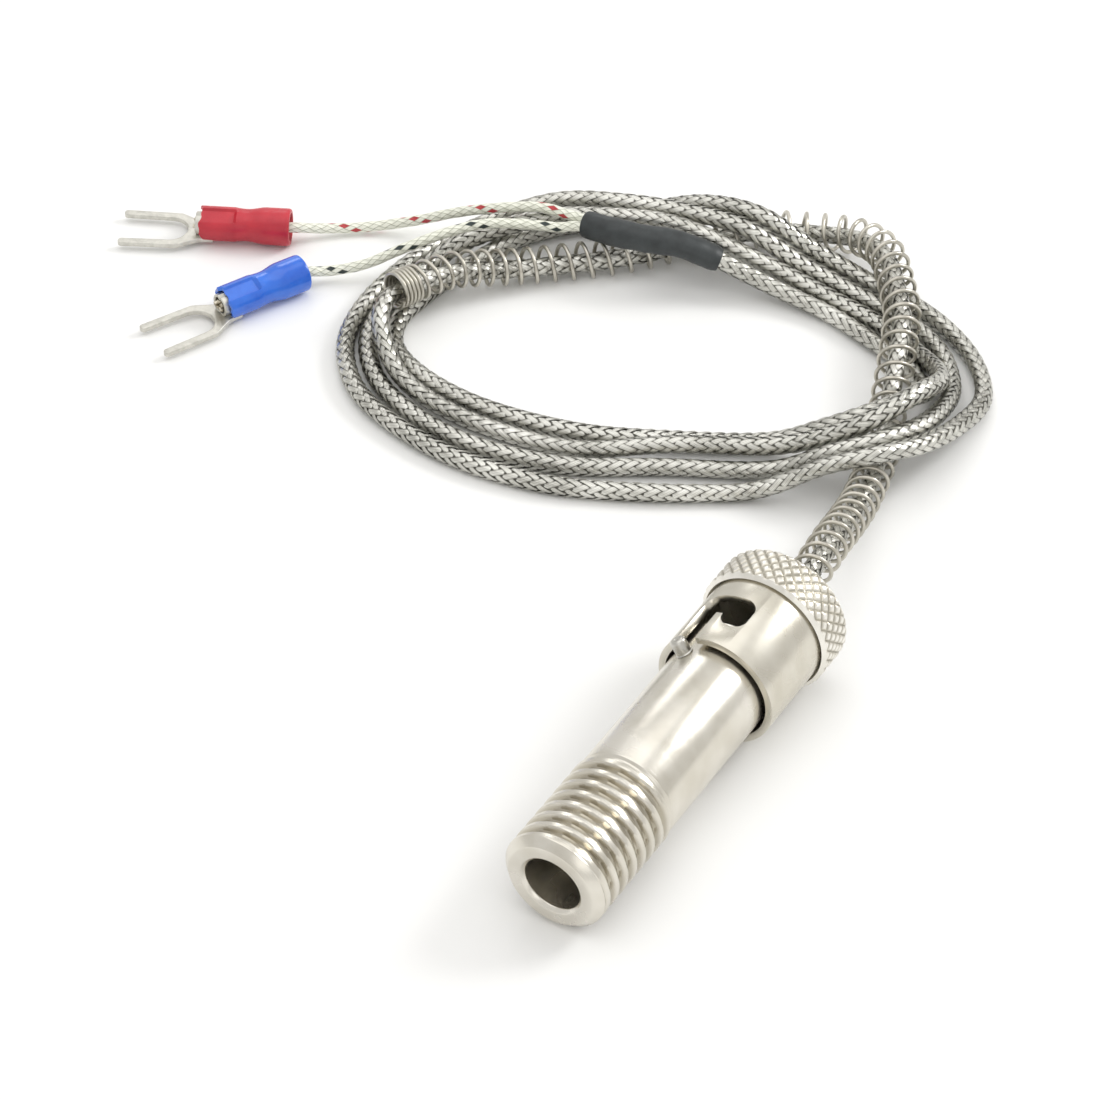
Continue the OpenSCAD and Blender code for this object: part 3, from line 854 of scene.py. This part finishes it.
def cableLine(s):
    rest = [inMetres(route) for route in (springRoute, loopRoutes, shrinkRoute[:1])]
    line = smoothLine(np.vstack([tail, *rest]), s["lineStep"] * mm)
    along = distances(line)
    low = ramp(along, *(d * mm for d in s["sags"]))
    low = low * (1 - ramp(along, *(springEnd + d * mm for d in s["rises"])))
    line[:, 2] -= s["sag"] * mm * low  # it lies on the bottom of the spring
    line[:, 2] = np.maximum(line[:, 2], s["lowest"] * mm)
    return evenly(relaxed(line, s["passes"]), s["lineStep"] * mm)


cableFrames = framed(cableLine(cable))
cableLength = cableFrames["s"][-1]
print("cable length", round(cableLength, 4), "m, spring to", round(springEnd, 4))


def buildCore(s):
    where = np.arange(0, cableLength, s["coreStep"] * mm)
    piece = tube("cableCore", cableFrames, [(x, s["core"] * mm) for x in where], s["coreSides"])
    dress(piece, cableCore, "sensor", ["braided_cable"], smooth=60)
    return piece, sampled(cableFrames, where)["at"].tolist()


def buildLay(name, lay, shift, s):
    where = np.linspace(0, cableLength, round(cableLength / (s["step"] * mm)))
    g = sampled(cableFrames, where)
    along, count, crossings = where / mm / s["lay"], len(where), 2 * s["ribbons"]
    places, faces, uv = [], [], []
    for k in range(s["ribbons"]):
        angle = math.tau * (lay * along + k / s["ribbons"])
        over = np.cos(math.tau * (lay * crossings * along + 2 * k + shift) / 4)
        over = np.clip(over * s["steep"], -1, 1)
        oval = 1 + s["oval"] * np.cos(2 * angle + math.tau * where / mm / s["ovalTurn"])
        out = outFrom(g, angle)
        middle = g["at"] + out * ((s["radius"] * oval + s["wave"] * over) * mm)[:, None]
        across = unit(np.cross(np.gradient(middle, axis=0), out)) * (s["width"] / 2 * mm)
        dip, rise = out * (s["crown"] * mm), out * s["rise"] * mm
        first = len(places) * count * 3
        rows = np.stack([middle - across - dip, middle + rise, middle + across - dip], 1)
        places.append(rows.reshape(-1, 3))
        uv.append(np.stack([np.repeat(where / mm, 3), np.tile([0, 0.5, 1], count)], 1))
        for a in range(first, first + (count - 1) * 3, 3):
            b = a + 3
            faces += [(a, a + 1, b + 1, b), (a + 1, a + 2, b + 2, b + 1), (a + 2, a, b, b + 2)]
        last = first + (count - 1) * 3
        faces += [(first, first + 2, first + 1), (last, last + 1, last + 2)]
    piece = addMesh(name, np.vstack(places), faces, np.vstack(uv))
    facedOutwards(piece)
    return dress(piece, braidWire, "sensor", smooth=60)


core, corePath = buildCore(cable)
leftLay = buildLay("braidLeftLay", -1, -2.5, braid)
rightLay = buildLay("braidRightLay", 1, -0.5, braid)
print("cable braided")


spring = {  # wire wound along the line, its last turns closed up
    "outer": 2.35, "wire": 0.25, "pitch": 2.36, "endPitch": 1.85, "endStretch": 34.0,
    "closedPitch": 0.53, "closedTurns": 4.6, "closing": 1.6, "perTurn": 32, "sides": 8,
    "samples": 4000, "wander": 0.05, "wanderWaves": (0.37, 0.11),
}


def buildSpring(s):
    f = framed(springLine)
    end, closed = f["s"][-1] / mm, s["closedTurns"] * s["closedPitch"]
    where = np.linspace(0, end, s["samples"])
    closer = ramp(where, end - s["endStretch"], end - closed)
    openPitch = s["pitch"] + (s["endPitch"] - s["pitch"]) * closer
    opened = 1 - ramp(where, end - closed - s["closing"], end - closed)
    pitch = s["closedPitch"] + (openPitch - s["closedPitch"]) * opened
    slow, fast = (np.sin(where * wave) for wave in s["wanderWaves"])
    pitch = pitch * (1 + s["wander"] * slow * fast)
    turns = np.concatenate([[0], np.cumsum(np.diff(where) / pitch[1:])])
    wound = np.linspace(0, turns[-1], round(turns[-1] * s["perTurn"]))
    g = sampled(f, np.interp(wound, turns, where) * mm)
    out = outFrom(g, -wound * math.tau)  # wound left-handed
    wire = g["at"] + out * (s["outer"] - s["wire"]) * mm
    ways = unit(np.gradient(wire, axis=0))
    line = lineFrames(wire, ways, unit(np.cross(ways, out)))
    piece = tube("longSpring", line, [(x, s["wire"] * mm) for x in line["s"]], s["sides"])
    facedOutwards(piece)
    return dress(piece, springSteel, "sensor", ["long_spring"], smooth=50)


longSpring = buildSpring(spring)
print("spring wound")


shrink = {  # the heat-shrink sleeve over the joint, drawn in a little at both ends
    "radius": 1.6, "neck": 1.5, "neckLength": 1.0, "lead": 0.55, "edge": 0.07, "flat": 0.08,
    "lumps": [(0.03, 1.15, 0), (0.018, 2.9, 1)], "turn": 60.0, "sides": 40, "step": 0.15,
}


def buildShrink(s):
    f = framed(smoothLine(inMetres(shrinkRoute), 0.2 * mm))
    end = f["s"][-1] / mm
    rings = []
    for x in np.arange(-s["lead"], end + s["lead"], s["step"]):
        fromEnd = min(x + s["lead"], end + s["lead"] - x)
        swell = s["neck"] + (s["radius"] - s["neck"]) * ramp(fromEnd, 0, s["neckLength"])
        swell += sum(height * math.sin(x * wave + shift) for height, wave, shift in s["lumps"])
        rings.append((x * mm, swell * mm))
    for k in (0, -1):
        rings[k] = (rings[k][0], rings[k][1] - s["edge"] * mm)
    piece = tube("heatShrink", f, rings, s["sides"], flat=s["flat"], turn=s["turn"])
    dress(piece, shrinkSleeve, "sensor", ["heat_shrink"], smooth=50)
    return piece, f


heatShrink, shrinkFrames = buildShrink(shrink)
shrinkEnd, shrinkWay = shrinkFrames["at"][-1], shrinkFrames["way"][-1]


lead = {  # a woven glass tube, one of two side by side out of the sleeve
    "side": 0.75, "radius": 0.63, "inShrink": 1.6, "inBarrel": 4.0, "step": 0.25, "sides": 28,
    "lowest": 0.75, "swell": (0.02, 2.1), "lineStep": 0.2, "passes": 10,
}


def buildLead(which, sideways, route, material, s):
    frameOut = terminalFrame(which)
    start = shrinkEnd + np.cross((0, 0, 1), shrinkWay) * s["side"] * mm * sideways
    line = smoothLine(np.vstack([
        start - shrinkWay * s["inShrink"] * mm, start, start + shrinkWay * mm, inMetres(route),
        np.array(frameOut.translation), np.array(frameOut @ Vector((0, 0, s["inBarrel"] * mm))),
    ]), s["lineStep"] * mm)
    line[:, 2] = np.maximum(line[:, 2], s["lowest"] * mm)
    f = framed(evenly(relaxed(line, s["passes"]), s["lineStep"] * mm))
    where = np.arange(0, f["s"][-1], s["step"] * mm)
    swell, wave = s["swell"]
    rings = [(x, s["radius"] * mm * (1 + swell * math.sin(x / mm * wave))) for x in where]
    piece = tube("lead" + which.title(), f, rings, s["sides"])
    dress(piece, material, "sensor", ["lead_" + which], smooth=60)
    return piece, sampled(f, where)["at"].tolist(), f["s"][-1]


leads = {
    "positive": buildLead("positive", -1, positiveRoute, positiveGlass, lead),
    "negative": buildLead("negative", 1, negativeRoute, negativeGlass, lead),
}
print("leads", [round(x[2], 4) for x in leads.values()])


insulator = {  # moulded, then pressed by the crimping tool
    "length": 11.0, "rear": 2.3, "waist": 1.98, "front": 2.05, "inner": 1.5, "steps": 90,
    "mouth": [(0.18, 0), (0.05, 0.1), (0, 0.3)], "narrows": (3.0, 5.3), "widens": (5.6, 6.6),
    "rings": (0.5, 0.15, 0.2), "rim": [(0, 0.12), (0.12, 0), (0.42, 0), (0.5, 0.1)],
    "hollow": 1.2, "flare": (0.8, 0.3), "pocketStart": 6.8, "pocketRamp": 0.2,
    "pocketFloor": 1.53, "pocketHalf": 0.8, "pocketWall": 0.16, "pocketShare": 0.95,
    "pocketTurn": 21,  # the crimp isn't quite square to the fork
    "top": (1.86, 0.5), "under": (1.7, 0.8), "bulge": 0.05, "ragged": 0.13, "skin": 0.35,
}


def turnedBy(co, turn):
    c, s = math.cos(turn), math.sin(turn)
    return np.column_stack([co[:, 0] * c - co[:, 1] * s, co[:, 0] * s + co[:, 1] * c])


def buildInsulator(which, material, s):
    rear, waist, front, inner = (s[k] for k in ("rear", "waist", "front", "inner"))
    length = s["length"]
    outline = [(rear - less, z) for less, z in s["mouth"]]
    first, short, step = s["rings"]
    for z in np.arange(first, length - short, step):
        narrow, back = ramp(z, *s["narrows"]), ramp(z, *s["widens"])
        outline.append((rear + (waist - rear) * narrow + (front - waist) * back, z))
    outline += [(front - less, length - down) for less, down in s["rim"]]
    outline += [(inner, length - s["hollow"]), (inner, s["flare"][0]), (inner + s["flare"][1], 0)]
    piece = turnedPiece("insulator" + which.title(), outline, s["steps"])
    co = readPlaces(piece)
    turn = math.radians(s["pocketTurn"])
    press = ramp(co[:, 2], s["pocketStart"] - s["pocketRamp"], s["pocketStart"])
    co[:, :2] = turnedBy(co, turn)
    upward = -co[:, 0]
    within = 1 - ramp(np.abs(co[:, 1]), s["pocketHalf"], s["pocketHalf"] + s["pocketWall"])
    flattened = np.clip(upward - s["top"][0], 0, None) * press * s["top"][1]
    over = np.clip(upward - flattened - s["pocketFloor"], 0, None) * within * press
    outside = np.hypot(co[:, 0], co[:, 1]) > front - s["skin"]
    co[:, 0] += (flattened + over * s["pocketShare"]) * outside
    around, end = np.arctan2(co[:, 1], co[:, 0]), ramp(co[:, 2], length - 1.0, length)
    co[:, 2] += s["ragged"] * end * (np.sin(3 * around + 1) + 0.6 * np.sin(8 * around))
    co[:, 0] -= np.clip(-upward - s["under"][0], 0, None) * outside * press * s["under"][1]
    co[:, 1] *= 1 + s["bulge"] * press  # what is pressed down goes out sideways
    co[:, :2] = turnedBy(co, -turn)
    movePlaces(piece, co)
    turnedMap(piece)
    place(piece, terminalFrame(which))
    return dress(piece, material, "sensor", ["insulator_" + which], smooth=32)


insulators = {
    "positive": buildInsulator("positive", redVinyl, insulator),
    "negative": buildInsulator("negative", blueVinyl, insulator),
}
print("insulators moulded")


fork = {  # a stamped plate on a rolled barrel
    "neck": [(1.65, 9.4), (1.75, 10.8), (1.81, 11.3)], "half": 3.2, "shoulder": 13.9, "tip": 21.0,
    "slotHalf": 2.25, "slotCentre": 15.0, "tipRadius": 0.42, "spread": 0.12, "thickness": 0.64,
    "drop": 1.42, "edge": 0.1, "edgeSteps": 3, "barrel": 1.45, "barrelWall": 0.38,
    "barrelStart": 2.0, "barrelEnd": 11.65, "barrelEdge": 0.08, "barrelSteps": 56,
    "seam": (0.22, 0.32), "press": (6.6, 7.4), "pressAbove": 0.6, "pressShare": 0.16,
}


def forkOutline(s):
    outer, inner, tip, r = s["half"], s["slotHalf"], s["tip"], s["tipRadius"]
    wide, turns = outer + s["spread"], np.radians(np.arange(15, 91, 15))
    right = s["neck"] + [(outer - 0.06, s["shoulder"] - 0.2), (outer, s["shoulder"] + 0.1)]
    right += [(wide, tip - r)]
    right += [(wide - r * (1 - math.cos(a)), tip - r * (1 - math.sin(a))) for a in turns]
    wide = inner + s["spread"]
    right += [(wide + r * (1 - math.sin(a)), tip - r * (1 - math.cos(a))) for a in turns]
    turns = np.radians(np.arange(0, 90, 7.5))
    right += [(inner * math.cos(a), s["slotCentre"] - inner * math.sin(a)) for a in turns]
    right += [(0, s["slotCentre"] - inner)]
    return right + [(-y, z) for y, z in right[-2::-1]]


def buildFork(which, s):
    lower = s["drop"] - s["thickness"] / 2
    outline = [(lower, y, z) for y, z in forkOutline(s)]
    piece = drawn("fork" + which.title(), outline + outline[:1])
    bpy.ops.mesh.edge_face_add()
    bpy.ops.mesh.extrude_region_move(TRANSFORM_OT_translate={"value": (s["thickness"], 0, 0)})
    leaveEdit()
    facedOutwards(piece)
    bevelled(piece, s["edge"], s["edgeSteps"])
    outer, inner, edge = s["barrel"], s["barrel"] - s["barrelWall"], s["barrelEdge"]
    start, end = s["barrelStart"], s["barrelEnd"]
    barrel = turnedPiece(piece.name + "Barrel", [
        (inner, start), (outer, start), (outer, end - edge), (outer - edge, end),
        (inner + edge, end), (inner, end - edge),
    ], s["barrelSteps"])
    co = readPlaces(barrel)
    angle = np.arctan2(co[:, 1], -co[:, 0])  # zero is straight up, where the barrel's seam is
    half, depth = s["seam"]
    co[:, 0] += depth * np.clip(1 - np.abs(angle) / half, 0, 1)  # the two rolled ears turn in
    press = ramp(co[:, 2], *s["press"]) * s["pressShare"]
    co[:, 0] += np.clip(-co[:, 0] - s["pressAbove"], 0, None) * press
    movePlaces(barrel, co)
    joined(piece, barrel)
    turnedMap(piece)
    place(piece, terminalFrame(which))
    return dress(piece, tinnedCopper, "sensor", ["fork_" + which], smooth=35)


strands = {  # the bared wires in the barrel: six round one
    "wire": 0.27, "bundle": 0.62, "start": 4.4, "end": 12.0, "ragged": 0.45, "lay": 13.0,
    "count": 7, "down": 0.08, "splay": 0.12, "splayFrom": 11, "press": (6.6, 7.4), "flat": 0.2,
    "points": 30, "sides": 12, "cut": (0.04, 0.75),
}


def buildStrands(which, s):
    frameOut = terminalFrame(which)
    pieces = []
    for k in range(s["count"]):
        around, ring = math.tau * k / (s["count"] - 1), s["bundle"] * (k < s["count"] - 1)
        end = s["end"] - s["ragged"] * (0.5 + 0.5 * math.sin(k * 2.3))
        line = []
        for z in np.linspace(s["start"], end, s["points"]):
            a = around + math.tau * z / s["lay"]
            out = ring * (1 + s["splay"] * max(0, z - s["splayFrom"]) * math.sin(k * 1.7))
            flat = 1 - s["flat"] * ramp(z, *s["press"])
            at = Vector((out * flat * math.cos(a) + s["down"], out * math.sin(a), z)) * mm
            line.append(np.array(frameOut @ at))
        f = framed(np.array(line))
        back, share = s["cut"]
        rings = [(x, s["wire"] * mm) for x in np.append(f["s"][:-1], f["s"][-1] - back * mm)]
        rings.append((f["s"][-1], s["wire"] * share * mm))
        pieces.append(tube("strand", f, rings, s["sides"]))
    piece = joined(*pieces)
    piece.name = piece.data.name = "strands" + which.title()
    return dress(piece, alloyWire, "sensor", ["strands_" + which], smooth=50)


forks = {which: (buildFork(which, fork), buildStrands(which, strands)) for which in terminals}
print("forks stamped")


insideFinishes = {  # what is inside the sheath keeps its CAD shape
    "insulator_rod": aluminaCeramic, "junction_bead": alloyWire, "wire_positive": alloyWire,
    "wire_negative": alloyWire, "crimp_ferrule": alloyWire,
}
for node, material in insideFinishes.items():
    for holder in frame["nodes"][node].material_slots:
        holder.material = material

studio = {  # a pale floor, softboxes behind, a broad one above and a fill in front
    "floor": 2.4, "board": ("#f2f2f1", "#f4f4f3"), "middle": (-0.031, 0.036, 0.0),
    "distance": 0.75, "world": 0.9, "air": "#f0efed",
    "lamps": [  # towards the lamp, size, power
        ((0.48, 0.64, 0.60), 0.26, 2.1),
        ((-0.51, 0.62, 0.58), 0.2, 0.3),
        ((-0.1, -0.05, 1.0), 0.8, 1.6),
        ((0.55, -0.75, 0.45), 0.35, 0.3),
    ],
}


def boardFinish(s):  # a matt white painted board, with the faintest mottle
    material, tree = newMaterial("paintedBoardPale")
    local = add(tree, "TexCoord").outputs["Object"]
    mottle = add(tree, "TexNoise", {"Vector": local, "Scale": 30.0})
    tint = add(tree, "ValToRGB", {0: mottle}, stops=list(zip((0, 1), s["board"])))
    shader = add(tree, "BsdfPrincipled", {"Base Color": tint, "Roughness": 0.9})
    add(tree, "OutputMaterial", {0: shader})
    return material


def buildStudio(s):
    bpy.ops.object.select_all(action="DESELECT")
    bpy.ops.mesh.primitive_plane_add(size=s["floor"], location=s["middle"])
    floor = bpy.context.object
    floor.name = "paleFloor"
    floor.data.materials.append(boardFinish(s))
    for way, size, power in s["lamps"]:
        way = Vector(way).normalized()
        bpy.ops.object.light_add(type="AREA", location=Vector(s["middle"]) + way * s["distance"])
        lamp = bpy.context.object
        lamp.data.shape, lamp.data.size, lamp.data.energy = "SQUARE", size, power
        lamp.rotation_mode = "QUATERNION"
        lamp.rotation_quaternion = (-way).to_track_quat("-Z", "Y")
    world = bpy.data.worlds.new("softRoom")
    world.use_nodes = True
    background = world.node_tree.nodes["Background"]
    background.inputs["Color"].default_value = linear(s["air"])
    background.inputs["Strength"].default_value = s["world"]
    bpy.context.scene.world = world
    bpy.context.scene.view_settings.view_transform = "Standard"


buildStudio(studio)
print("studio lit")
